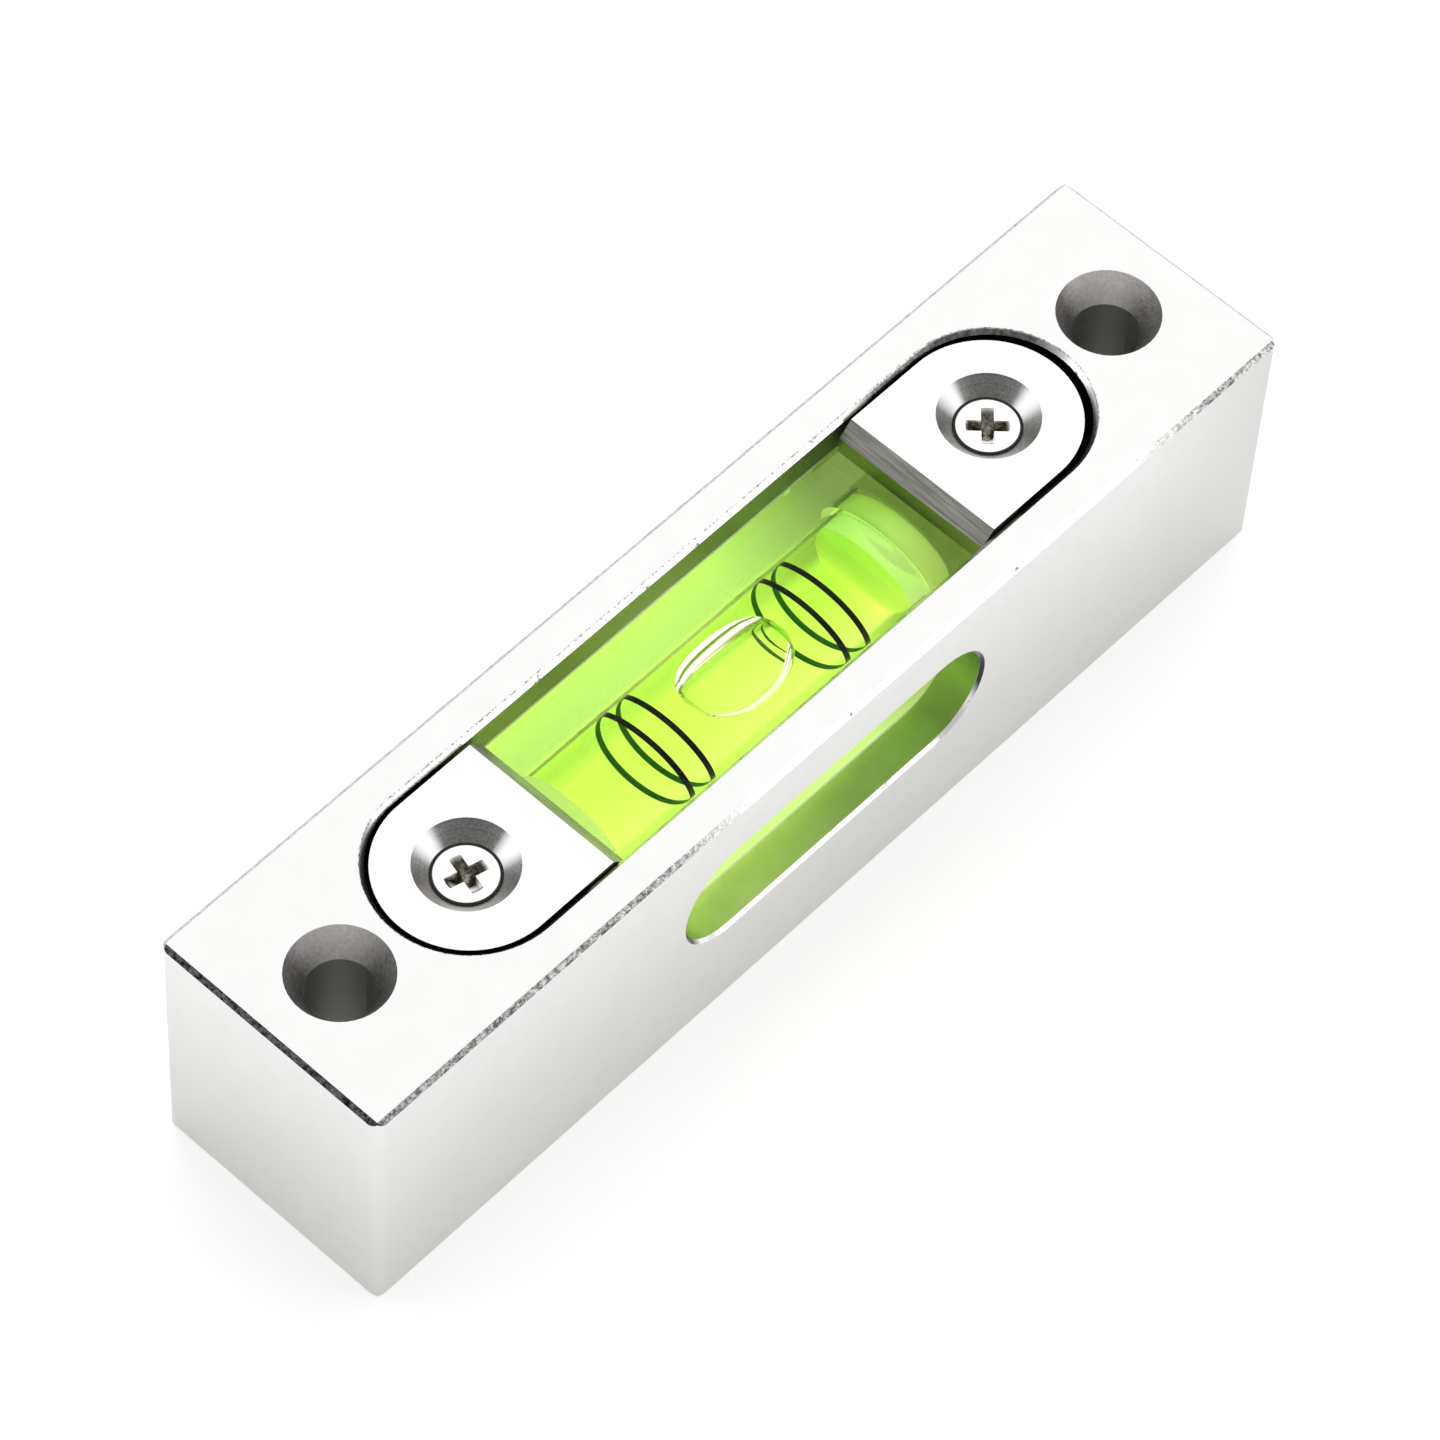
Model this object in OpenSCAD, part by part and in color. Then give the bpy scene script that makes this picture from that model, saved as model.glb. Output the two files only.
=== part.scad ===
// Pocket spirit level with a magnetic base.
// A milled aluminium bar holds a clear block vial, and two D-shaped plates screw down over its ends.
// X runs along the bar, Z is up, and the origin is the middle of the base.

/* [Body] */
// Length of the bar
body_l = 100; // [92:1:140]
// Width of the bar
body_w = 22.5; // [20:0.5:30]
// Height of the bar
body_h = 25.3; // [23:0.1:34]
// Chamfer cut along every outer edge of the top and base
edge_chamfer = 0.4; // [0.2:0.1:0.8]
// Radius of the four upright corners
corner_r = 1; // [0.6:0.1:2]

/* [Mounting holes] */
// Distance from each end of the bar to its mounting hole
mount_inset = 7.5; // [6:0.25:8.5]
// Diameter of the mounting holes
mount_d = 5.5; // [3:0.1:6]
// Diameter of the countersink at the top
mount_sink_d = 8.4; // [6.5:0.1:9]
// Angle between the sides of the countersink
mount_sink_angle = 60; // [50:1:100]

/* [Plate recess] */
// Wall left on each long side of the recess
wall_t = 3.5; // [2.5:0.05:5]
// Distance from the middle of each mounting hole to the recess
recess_inset = 5.75; // [4.8:0.05:9]
// Chamfer around the mouth of the recess
rim_chamfer = 0.4; // [0.1:0.05:0.5]

/* [Clamp plates] */
// Thickness of the plates, which fill the recess to its mouth
plate_t = 3; // [2.6:0.1:4]
// Gap between a plate and the long sides of the recess
plate_gap = 0.35; // [0.1:0.05:0.8]
// Gap left where the left plate was pushed against the recess
push_gap = 0.05; // [0.02:0.01:0.1]
// Angle from the long axis towards the front at which the left plate was pushed
push_angle_left = 42; // [0:1:90]
// Angle of the right plate, which sits off centre towards the front only
push_angle_right = 15; // [0:1:90]
// How much nearer each other the screws are than the round ends of the recess
screw_pull = 0.25; // [0:0.05:0.6]
// How far the centre of a plate's round end lies in front of its screw
plate_lead = 0.08; // [0:0.02:0.5]
// Distance from the screw to the straight edge of its plate
plate_reach = 7.75; // [6.5:0.05:9]
// Bevel of the straight edge, towards the vial
plate_bevel = 1.25; // [0.5:0.05:2]
// Diameter of the countersink in a plate
plate_sink_d = 8.25; // [6.6:0.05:9]

/* [Clamp screws] */
// Diameter of the thread
screw_d = 3; // [2.5:0.1:3.5]
// Diameter of the countersunk head
screw_head_d = 5.5; // [5:0.1:6.2]
// Length from the top of the head to the tip
screw_l = 12; // [8:0.5:14]
// Radial clearance around the screw in its plate and its hole
screw_gap = 0.05; // [0.03:0.01:0.2]
// Width of each arm of the cross recess
cross_w = 1; // [0.6:0.05:1.1]
// Span of the cross recess
cross_span = 3.9; // [2.6:0.1:4.2]
// Depth of the cross recess
cross_depth = 1.7; // [1:0.1:1.8]
// Turn of the left screw's cross
cross_turn_left = 75; // [0:1:89]
// Turn of the right screw's cross
cross_turn_right = 43; // [0:1:89]

/* [Vial block] */
// Length of the clear block
block_l = 45; // [43:0.5:46]
// Height of the clear block
block_h = 12.4; // [12:0.1:14]
// Gap between the block and the sides of its cavity
block_gap = 0.1; // [0.05:0.05:0.3]
// Gap between the block and the ends of its cavity
block_end_gap = 0.3; // [0.1:0.05:0.6]
// Gap between the block and the plates over it
clamp_gap = 0.05; // [0.02:0.01:0.2]
// Radius of the block's upright corners
block_corner_r = 1.2; // [0.6:0.1:2]
// How far the vial and its side window stand off the middle of the bar
vial_shift = -0.3; // [-0.5:0.1:0.5]

/* [Bore and liquid] */
// Diameter of the bore that holds the liquid
bore_d = 10.7; // [9:0.1:11]
// Wall between the blind end of the bore and the end of the block
bore_wall = 4.7; // [3:0.1:6]
// Diameter of the counterbore for the stopper's head
counterbore_d = 11.8; // [11.3:0.1:11.8]
// Depth of the counterbore
counterbore_l = 6; // [4:0.1:6.4]
// Radial clearance between the liquid and the bore
liquid_gap = 0.02; // [0.01:0.01:0.05]

/* [Stopper] */
// Thickness of the stopper's head
head_t = 2.5; // [1:0.1:3]
// Length of the stem in the bore
stem_l = 1.9; // [1.2:0.1:2.4]
// Radial clearance around the stopper and its seal
stopper_gap = 0.03; // [0.02:0.01:0.08]
// Rounding of the head's edge
head_round = 0.7; // [0.2:0.1:0.9]

/* [Graduation rings] */
// Distance between the two inner rings, centre to centre
ring_span = 15.1; // [12:0.1:18]
// Distance from each inner ring to the outer ring beside it
ring_pitch = 2.25; // [1.5:0.05:4]
// Width of a ring
ring_w = 0.5; // [0.2:0.02:0.6]
// Thickness of a ring
ring_t = 0.1; // [0.05:0.01:0.15]

/* [Bubble] */
// Length of the bubble
bubble_l = 10.2; // [6:0.1:11]
// Width of the bubble
bubble_w = 7.4; // [5:0.1:7.6]
// Height of the bubble
bubble_h = 3; // [2:0.1:3.6]
// Way that the bubble travels to each side
bubble_travel = 8; // [4:0.1:8.5]
// Distance from the middle of the vial to the bubble at rest
bubble_x = 0.3; // [-1:0.1:1]
// Clearance around the bubble on its way
bubble_gap = 0.3; // [0.2:0.05:0.4]

/* [Side window] */
// Length of the window in the front side
window_l = 33.1; // [28:0.1:36]
// Height of the window
window_h = 10.1; // [8:0.1:11]
// Chamfer around the window
window_chamfer = 0.3; // [0.1:0.05:0.5]

/* [Magnets] */
// Diameter of a magnet
magnet_d = 10; // [6:0.5:11]
// Thickness of a magnet
magnet_t = 3; // [2:0.5:4]
// Distance from each end of the bar to its outer magnet
magnet_inset = 19; // [17:0.5:21]
// Distance from an outer magnet to the inner one beside it
magnet_pitch = 20; // [16:0.5:20]
// Radial clearance around a magnet
magnet_gap = 0.05; // [0.03:0.01:0.1]

/* [Hidden] */
$fn = 96;

// Extra length that carries a cut past the face it opens
through = 1;

// Mounting holes
mount_x = body_l / 2 - mount_inset;
mount_sink_depth = (mount_sink_d - mount_d) / 2 / tan(mount_sink_angle / 2);

// Recess for the plates, with round ends
recess_w = body_w - 2 * wall_t;
recess_r = recess_w / 2;
recess_l = 2 * (mount_x - recess_inset);
ledge_z = body_h - plate_t;

// Plates and screws
plate_r = recess_r - plate_gap;
screw_spacing = recess_l - recess_w - screw_pull;
plate_play = plate_gap - push_gap;
plate_centre_left_x = -recess_l / 2 + recess_r - plate_play * cos(push_angle_left);
screw_left_x = plate_centre_left_x - plate_lead;
screw_right_x = screw_left_x + screw_spacing;
screw_hole_r = screw_d / 2 + screw_gap;
head_sink = (plate_sink_d - screw_head_d) / 2 - screw_gap;
head_top_z = body_h - head_sink;
head_cone_h = (screw_head_d - screw_d) / 2;
screw_tip_z = head_top_z - screw_l;
screw_hole_z = screw_tip_z - through;
cross_tip_r = 0.3;

// Vial block in its cavity
block_top_z = ledge_z - clamp_gap;
floor_z = block_top_z - block_h;
block_w = recess_w - 2 * block_gap;
cavity_l = block_l + 2 * block_end_gap;
cavity_corner_r = block_corner_r - block_gap;
axis_z = floor_z + block_h / 2;
block_end_x = vial_shift + block_l / 2;

// Bore, counterbore, stopper and seal
bore_r = bore_d / 2;
bore_start_x = vial_shift - block_l / 2 + bore_wall;
shoulder_x = block_end_x - counterbore_l;
liquid_end_x = shoulder_x - stem_l;
counterbore_r = counterbore_d / 2;
head_end_x = shoulder_x + head_t;

// Bubble
bubble_top_z = axis_z + bore_r - bubble_gap;
bubble_mid_z = bubble_top_z - bubble_h / 2;
channel_l = bubble_l + 2 * (bubble_travel + bubble_gap);
channel_floor_z = bubble_top_z - bubble_h - bubble_gap;

// Side window
window_z = floor_z + window_h / 2;

// Magnets
magnet_outer_x = body_l / 2 - magnet_inset;
magnet_inner_x = magnet_outer_x - magnet_pitch;
magnet_xs = [-magnet_outer_x, -magnet_inner_x, magnet_inner_x, magnet_outer_x];

// Rings
ring_xs = [for (side = [-1, 1], row = side < 0 ? [1, 0] : [0, 1])
    vial_shift + side * (ring_span / 2 + row * ring_pitch)];

// A box with round upright corners, centred on X and Y and standing on z = 0
module rounded_box(l, w, h, r) {
    translate([-l / 2 + r, -w / 2, 0]) cube([l - 2 * r, w, h]);
    translate([-l / 2, -w / 2 + r, 0]) cube([l, w - 2 * r, h]);
    for (sx = [-1, 1], sy = [-1, 1])
        translate([sx * (l / 2 - r), sy * (w / 2 - r), 0]) cylinder(r = r, h = h);
}

// A slot with round ends, l long over all and w wide, standing on z = 0
module obround(l, w, h) {
    translate([-(l - w) / 2, -w / 2, 0]) cube([l - w, w, h]);
    for (side = [-1, 1]) translate([side * (l - w) / 2, 0, 0]) cylinder(d = w, h = h);
}

// The chamfer around such a slot's mouth: its walls lean out by c over the height c
module obround_rim(l, w, c) {
    for (side = [-1, 1])
        translate([side * (l - w) / 2, 0, -c]) cylinder(d1 = w, d2 = w + 4 * c, h = 2 * c);
    rotate([90, 0, 90]) translate([0, 0, -(l - w) / 2]) linear_extrude(l - w)
        polygon([[-w / 2, -c], [w / 2, -c], [w / 2 + 2 * c, c], [-w / 2 - 2 * c, c]]);
}

// A rectangle with its four corners cut off by c, drawn from its lower left corner
module cut_rectangle(l, h, c) {
    polygon([[c, 0], [l - c, 0], [l, c], [l, h - c], [l - c, h], [c, h], [0, h - c], [0, c]]);
}

// The bar before it is milled out
module blank() {
    intersection() {
        rounded_box(body_l, body_w, body_h, corner_r);
        rotate([90, 0, 0]) translate([-body_l / 2, 0, -body_w / 2]) linear_extrude(body_w)
            cut_rectangle(body_l, body_h, edge_chamfer);
        rotate([90, 0, 90]) translate([-body_w / 2, 0, -body_l / 2]) linear_extrude(body_l)
            cut_rectangle(body_w, body_h, edge_chamfer);
    }
}

// A hole through the bar with a countersink at the top
module mounting_hole() {
    translate([0, 0, -through]) cylinder(d = mount_d, h = body_h + 2 * through);
    translate([0, 0, body_h - mount_sink_depth])
        cylinder(r1 = mount_d / 2, r2 = mount_sink_d / 2 + through * tan(mount_sink_angle / 2),
            h = mount_sink_depth + through);
}

// A window through the front wall, with its chamfer on the outer face at y = 0
module side_window() {
    rotate([90, 0, 0]) {
        translate([0, 0, -wall_t - through]) obround(window_l, window_h, wall_t + 2 * through);
        obround_rim(window_l, window_h, window_chamfer);
    }
}

module body() {
    color("gainsboro") difference() {
        blank();
        for (side = [-1, 1]) translate([side * mount_x, 0, 0]) mounting_hole();
        translate([0, 0, ledge_z]) obround(recess_l, recess_w, plate_t + through);
        translate([0, 0, body_h]) obround_rim(recess_l, recess_w, rim_chamfer);
        translate([vial_shift, 0, floor_z]) rounded_box(cavity_l, recess_w, body_h, cavity_corner_r);
        for (x = [screw_left_x, screw_right_x])
            translate([x, 0, screw_hole_z]) cylinder(r = screw_hole_r, h = body_h);
        translate([vial_shift, -body_w / 2, window_z]) side_window();
        for (x = magnet_xs)
            translate([x, 0, -through]) cylinder(r = magnet_d / 2 + magnet_gap, h = magnet_t + through);
    }
}

// A clamp plate with the centre of its round end at the origin and its straight edge towards +X.
// Its outline is shifted along Y from its screw hole.
module clamp_plate(shift) {
    edge_x = plate_reach - plate_lead;
    difference() {
        union() {
            cylinder(r = plate_r, h = plate_t);
            translate([0, -plate_r, 0]) cube([edge_x + plate_bevel, 2 * plate_r, plate_t]);
        }
        translate([edge_x, -plate_r - through, plate_t]) rotate([-90, 0, 0])
            linear_extrude(2 * (plate_r + through))
            polygon([[0, 0], [-through, -through], [plate_bevel + through, -through],
                [plate_bevel + through, plate_bevel + through]]);
        translate([-plate_lead, -shift, -through]) cylinder(r = screw_hole_r, h = plate_t + 2 * through);
        translate([-plate_lead, -shift, plate_t - plate_sink_d / 2 + screw_hole_r])
            cylinder(r1 = screw_hole_r, r2 = plate_sink_d / 2 + through,
                h = plate_sink_d / 2 - screw_hole_r + through);
    }
}

module clamp_plate_left() {
    shift = -plate_play * sin(push_angle_left);
    color("whitesmoke") translate([screw_left_x + plate_lead, shift, ledge_z]) clamp_plate(shift);
}

module clamp_plate_right() {
    shift = plate_play * sin(push_angle_right);
    color("whitesmoke") translate([screw_right_x - plate_lead, -shift, ledge_z])
        rotate([0, 0, 180]) clamp_plate(shift);
}

// A countersunk screw, with the top of its head at the origin
module clamp_screw(turn) {
    difference() {
        union() {
            translate([0, 0, -head_cone_h])
                cylinder(r1 = screw_d / 2, r2 = screw_head_d / 2, h = head_cone_h);
            translate([0, 0, -screw_l]) cylinder(d = screw_d, h = screw_l - head_cone_h / 2);
        }
        rotate([0, 0, turn]) intersection() {
            translate([0, 0, -cross_depth])
                cylinder(r1 = cross_tip_r, r2 = cross_span / 2, h = cross_depth + through / 4);
            union() {
                for (arm = [0, 90]) rotate([0, 0, arm])
                    translate([-cross_span / 2, -cross_w / 2, -cross_depth])
                        cube([cross_span, cross_w, cross_depth + through]);
            }
        }
    }
}

module clamp_screw_left() {
    color("silver") translate([screw_left_x, 0, head_top_z]) clamp_screw(cross_turn_left);
}

module clamp_screw_right() {
    color("silver") translate([screw_right_x, 0, head_top_z]) clamp_screw(cross_turn_right);
}

// A cylinder along X from x0 to x1 on the axis of the bore
module along_bore(x0, x1, r) {
    translate([x0, 0, axis_z]) rotate([0, 90, 0]) cylinder(r = r, h = x1 - x0);
}

module vial_block() {
    color("greenyellow", 0.4) difference() {
        translate([vial_shift, 0, floor_z]) rounded_box(block_l, block_w, block_h, block_corner_r);
        along_bore(bore_start_x, shoulder_x + through, bore_r);
        along_bore(shoulder_x, block_end_x + through, counterbore_r);
    }
}

// The liquid below and beyond the way of the bubble
module vial_liquid() {
    color("chartreuse") difference() {
        along_bore(bore_start_x + liquid_gap, liquid_end_x - liquid_gap, bore_r - ring_t - 2 * liquid_gap);
        translate([vial_shift + bubble_x - channel_l / 2, -body_w / 2, channel_floor_z])
            cube([channel_l, body_w, body_h]);
    }
}

// A long flat drop of air under the top of the bore
module bubble() {
    color("honeydew") intersection() {
        translate([vial_shift + bubble_x, 0, bubble_mid_z])
            scale([bubble_l, bubble_w, bubble_h * 1.16]) sphere(d = 1, $fn = 48);
        translate([vial_shift + bubble_x - bubble_l / 2, -bubble_w / 2, bubble_top_z - bubble_h])
            cube([bubble_l, bubble_w, bubble_h]);
        along_bore(vial_shift + bubble_x - bubble_l, vial_shift + bubble_x + bubble_l, bore_r - bubble_gap);
    }
}

// The stem in the bore and the round head in the counterbore, turned as one
module stopper() {
    stem_r = bore_r - stopper_gap;
    head_r = counterbore_r - stopper_gap;
    color("yellowgreen") translate([liquid_end_x, 0, axis_z]) rotate([0, 90, 0]) rotate_extrude()
        polygon([[0, 0], [stem_r, 0], [stem_r, stem_l], [head_r - head_round, stem_l],
            [head_r, stem_l + head_round], [head_r, stem_l + head_t - head_round],
            [head_r - head_round, stem_l + head_t], [0, stem_l + head_t]]);
}

module resin_seal() {
    color("palegreen", 0.4) along_bore(head_end_x, block_end_x, counterbore_r - stopper_gap);
}

// One printed ring on the wall of the bore
module graduation_ring(i) {
    color("black") difference() {
        along_bore(ring_xs[i] - ring_w / 2, ring_xs[i] + ring_w / 2, bore_r);
        along_bore(ring_xs[i] - ring_w, ring_xs[i] + ring_w, bore_r - ring_t);
    }
}

module magnet(i) {
    color("lightsteelblue") translate([magnet_xs[i], 0, 0]) cylinder(d = magnet_d, h = magnet_t);
}

body();
clamp_plate_left();
clamp_plate_right();
clamp_screw_left();
clamp_screw_right();
vial_block();
vial_liquid();
bubble();
stopper();
resin_seal();
graduation_ring(0);  // ring_1
graduation_ring(1);  // ring_2
graduation_ring(2);  // ring_3
graduation_ring(3);  // ring_4
magnet(0);  // magnet_1
magnet(1);  // magnet_2
magnet(2);  // magnet_3
magnet(3);  // magnet_4
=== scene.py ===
# %% [markdown]
# This lesson dresses a pocket spirit level: an aluminium bar, a clear block vial and two clamp plates.
# The solids come from CAD, so their sizes and places are fixed. The script gives them their finishes,
# draws again the pieces that light passes through, and sets up a pale studio around them.

import bmesh
import bpy
import numpy as np
from mathutils import Matrix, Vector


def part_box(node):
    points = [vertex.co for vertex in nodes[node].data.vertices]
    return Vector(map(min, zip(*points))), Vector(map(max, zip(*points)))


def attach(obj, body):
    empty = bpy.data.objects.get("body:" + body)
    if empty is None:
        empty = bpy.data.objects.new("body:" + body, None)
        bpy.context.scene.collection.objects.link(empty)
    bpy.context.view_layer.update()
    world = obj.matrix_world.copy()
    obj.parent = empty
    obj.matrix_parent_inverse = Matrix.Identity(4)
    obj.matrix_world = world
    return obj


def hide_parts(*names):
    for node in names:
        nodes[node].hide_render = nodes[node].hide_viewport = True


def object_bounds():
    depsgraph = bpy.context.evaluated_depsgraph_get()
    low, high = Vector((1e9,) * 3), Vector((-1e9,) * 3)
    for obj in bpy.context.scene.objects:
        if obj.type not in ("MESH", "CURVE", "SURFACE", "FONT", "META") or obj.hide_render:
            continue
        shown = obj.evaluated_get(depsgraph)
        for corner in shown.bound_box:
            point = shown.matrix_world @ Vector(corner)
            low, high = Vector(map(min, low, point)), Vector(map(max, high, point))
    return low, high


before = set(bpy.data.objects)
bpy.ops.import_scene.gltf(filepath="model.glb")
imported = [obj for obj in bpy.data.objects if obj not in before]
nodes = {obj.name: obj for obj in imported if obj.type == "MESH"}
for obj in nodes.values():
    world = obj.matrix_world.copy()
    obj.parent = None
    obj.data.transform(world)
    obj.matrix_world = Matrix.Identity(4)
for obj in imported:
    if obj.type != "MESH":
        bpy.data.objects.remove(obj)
cad_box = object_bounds()
MM = 0.001
HALF_L, HALF_W, TOP = (side / MM for side in cad_box[1])
print("%d solids, bar %.1f x %.1f x %.1f mm" % (len(nodes), 2 * HALF_L, 2 * HALF_W, TOP))

# %% [markdown]
# A finish is a material, which in Blender is a tree of shader nodes. Trees can be drawn by hand in the
# editor, but in a script they can be read, compared and built again. Three helpers serve them all. One
# turns a hex colour, as a screen shows it, into the linear numbers that light is mixed with. One adds a
# node with its settings and links. One starts a tree from nothing, so that each recipe is complete.

# %% Helpers for materials
def linear(hex_colour, alpha=1.0):
    """sRGB to linear: c / 12.92 up to 0.04045, and ((c + 0.055) / 1.055) to the power 2.4 above it."""
    value = np.array([int(hex_colour[i:i + 2], 16) for i in (1, 3, 5)]) / 255
    colour = np.where(value <= 0.04045, value / 12.92, ((value + 0.055) / 1.055) ** 2.4)
    return (*colour.tolist(), alpha)


def add(tree, kind, inputs=None, **settings):
    """Adds one node. settings are its properties, and inputs its sockets' values, hex colours or links."""
    new = tree.nodes.new(kind)
    for key, value in settings.items():
        setattr(new, key, value)
    for key, value in (inputs or {}).items():
        if isinstance(value, bpy.types.NodeSocket):
            tree.links.new(value, new.inputs[key])
        else:
            new.inputs[key].default_value = linear(value) if isinstance(value, str) else value
    return new


def start_material(name):
    """An empty node material and its tree."""
    material = bpy.data.materials.new(name)
    material.use_nodes = True
    material.node_tree.nodes.clear()
    return material, material.node_tree


def dress(obj, *materials):
    """Puts these materials into the object's slots, in order."""
    while len(obj.data.materials) < len(materials):
        obj.data.materials.append(None)
    for slot, material in zip(obj.material_slots, materials):
        slot.material = material


print("white paper #F2F2F2 is", [round(c, 3) for c in linear("#F2F2F2")], "in linear light")

# %% [markdown]
# The pieces that are drawn here are turned on a lathe or cast in a mould: each is an outline that is
# carried round an axis or upwards. They could be modelled by hand or cut with booleans, but as numbers
# both are a grid of points, so one function makes a closed mesh from any of them. Merging the doubled
# points closes the seams and the poles.

# %% Helpers for shapes
SHARP = np.radians(35)
DOUBLED = 0.001


def grid_mesh(name, points, round_columns=False, smooth=True):
    """Rows by columns by 3 points: quad (i, j) joins (i, j), (i, j + 1), (i + 1, j + 1), (i + 1, j)."""
    rows, columns = points.shape[:2]
    index = np.arange(rows * columns).reshape(rows, columns)
    if round_columns:
        index = np.hstack([index, index[:, :1]])
    quads = np.stack([index[:-1, :-1], index[:-1, 1:], index[1:, 1:], index[1:, :-1]], axis=-1)
    mesh = bpy.data.meshes.new(name)
    mesh.from_pydata((points.reshape(-1, 3) * MM).tolist(), [], quads.reshape(-1, 4).tolist())
    merged = bmesh.new()
    merged.from_mesh(mesh)
    bmesh.ops.remove_doubles(merged, verts=merged.verts, dist=DOUBLED * MM)
    merged.to_mesh(mesh)
    merged.free()
    mesh.polygons.foreach_set("use_smooth", [smooth] * len(mesh.polygons))
    mesh.set_sharp_from_angle(angle=SHARP)
    obj = bpy.data.objects.new(name, mesh)
    bpy.context.scene.collection.objects.link(obj)
    return obj


def revolve(name, x, r, axis_z, steps=192, hollow=False):
    """Profile (x, r) turned about the line y = 0, z = axis_z: y = r cos(a), z = axis_z + r sin(a).
    A hollow turns the other way, so that its faces point in, towards the axis."""
    angle = np.linspace(0, 2 * np.pi, steps, endpoint=False) * (-1 if hollow else 1)
    x, r = np.asarray(x, float)[:, None], np.asarray(r, float)[:, None]
    points = np.stack([x + 0 * angle, r * np.cos(angle), axis_z + r * np.sin(angle)], axis=-1)
    return grid_mesh(name, points, round_columns=True)


def node_box(name):
    """A node's lowest and highest corners, in millimetres."""
    low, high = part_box(name)
    return np.array(low) / MM, np.array(high) / MM


print("the vial block spans", *node_box("vial_block"))

# %% [markdown]
# The camera stands where the photographer stood, with a long lens that hardly draws lines together. It
# could be moved by hand until the picture fits. Its place and its turn were worked out from the corners
# of the bar in the picture instead, which is exact: it looks down at 56 degrees from the front left.

# %% Camera
CAMERA_PLACE = (-0.230287, -0.190182, 0.455928)
camera_data = bpy.data.cameras.new("camera")
camera_data.sensor_width = 36.0
camera_data.lens = 173.69
camera_data.clip_start = 0.01
camera = bpy.data.objects.new("camera", camera_data)
right = np.array([0.682703, -0.729614, 0.039758])
up = np.array([0.590646, 0.583068, 0.557825])
back = np.cross(right, up)
turn = Matrix([[right[i], up[i], back[i]] for i in range(3)])
camera.matrix_world = Matrix.Translation(CAMERA_PLACE) @ turn.to_4x4()
bpy.context.scene.collection.objects.link(camera)
bpy.context.scene.camera = camera
print("camera at", tuple(round(v, 3) for v in camera.location))

# %% [markdown]
# A small part for sale is shot on a white table under one large soft panel. A sun or bare bulbs would
# give metal hard spots instead. The panel stands behind the bar, so the blasted top mirrors it evenly
# and the faces in front fall off to a light grey. Two white cards stand low on both sides, and light
# the chamfers and the turned cones from along the table. The room around is an even, weaker white.

# %% Studio
scene = bpy.context.scene
scene.view_settings.view_transform = "Standard"
world = bpy.data.worlds.new("studio")
scene.world = world
world.use_nodes = True
world.node_tree.nodes.clear()
room = add(world.node_tree, "ShaderNodeBackground", {"Color": "#FFFFFF", "Strength": 0.55})
add(world.node_tree, "ShaderNodeOutputWorld", {"Surface": room.outputs[0]})


def soft_lamp(name, place, size, power):
    """A square area lamp of side size, in metres and watts, that faces the bar at the origin."""
    data = bpy.data.lights.new(name, "AREA")
    data.size = size
    data.energy = power
    lamp = bpy.data.objects.new(name, data)
    away = np.array(place) / np.linalg.norm(place)
    side = np.cross((0.0, 0.0, 1.0), away)
    side /= np.linalg.norm(side)
    over = np.cross(away, side)
    turn = Matrix([[side[i], over[i], away[i]] for i in range(3)])
    lamp.matrix_world = Matrix.Translation(place) @ turn.to_4x4()
    scene.collection.objects.link(lamp)


soft_lamp("soft_panel", (0.42, 0.35, 0.85), 1.2, 3.85)
soft_lamp("front_card", (0.54, -0.79, 0.33), 0.45, 0.8)
soft_lamp("back_card", (-0.66, 0.70, 0.33), 0.45, 0.8)
print(len(bpy.data.lights), "lamps")

# %% [markdown]
# The table is matt white card. More lamp light would make it white and spoil the bar. A little glow is
# added instead where the eye, polished metal or glass sees it. That lifts it to white without any more
# light on the bar, and the bar's soft shadow stays on it.

# %% Table
REACH = 1500.0
FIBRE = 40.0
table_points = REACH * np.array([[[-1.0, 1.0, 0.0], [-1.0, -1.0, 0.0]], [[1.0, 1.0, 0.0], [1.0, -1.0, 0.0]]])
table = grid_mesh("table", table_points, smooth=False)
card, tree = start_material("matt_white_card")
paths = add(tree, "ShaderNodeLightPath").outputs
seen = paths["Is Camera Ray"]
for path in ("Is Glossy Ray", "Is Transmission Ray"):
    seen = add(tree, "ShaderNodeMath", {0: seen, 1: paths[path]}, operation="MAXIMUM").outputs[0]
place = add(tree, "ShaderNodeTexCoord").outputs["Object"]
fibre = add(tree, "ShaderNodeTexNoise", {"Vector": place, "Scale": FIBRE}).outputs["Fac"]
paper = add(tree, "ShaderNodeMix", {"Factor": fibre, 6: "#F3F3F3", 7: "#F1F1F1"}, data_type="RGBA")
plain = add(tree, "ShaderNodeBsdfDiffuse", {"Color": paper.outputs[2]})
white = add(tree, "ShaderNodeEmission", {"Color": "#FFFFFF", "Strength": 0.44})
none = add(tree, "ShaderNodeEmission", {"Strength": 0.0})
lift = add(tree, "ShaderNodeMixShader", {0: seen, 1: none.outputs[0], 2: white.outputs[0]})
both_lights = add(tree, "ShaderNodeAddShader", {0: plain.outputs[0], 1: lift.outputs[0]})
add(tree, "ShaderNodeOutputMaterial", {"Surface": both_lights.outputs[0]})
dress(table, card)
print("table", len(table.data.polygons), "face")

# %% [markdown]
# One solid carries several finishes, because the bar is blasted first and cut afterwards. They could be
# painted on an image, which blurs at close range. A mask tells them apart here: a number from 0 to 1
# that is worked out from a point's place, in millimetres, and from the way its face points. It stays
# exact at any size and needs no unwrapping.

# %% Masks
EVER = 99.0
FADE = 0.05


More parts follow.
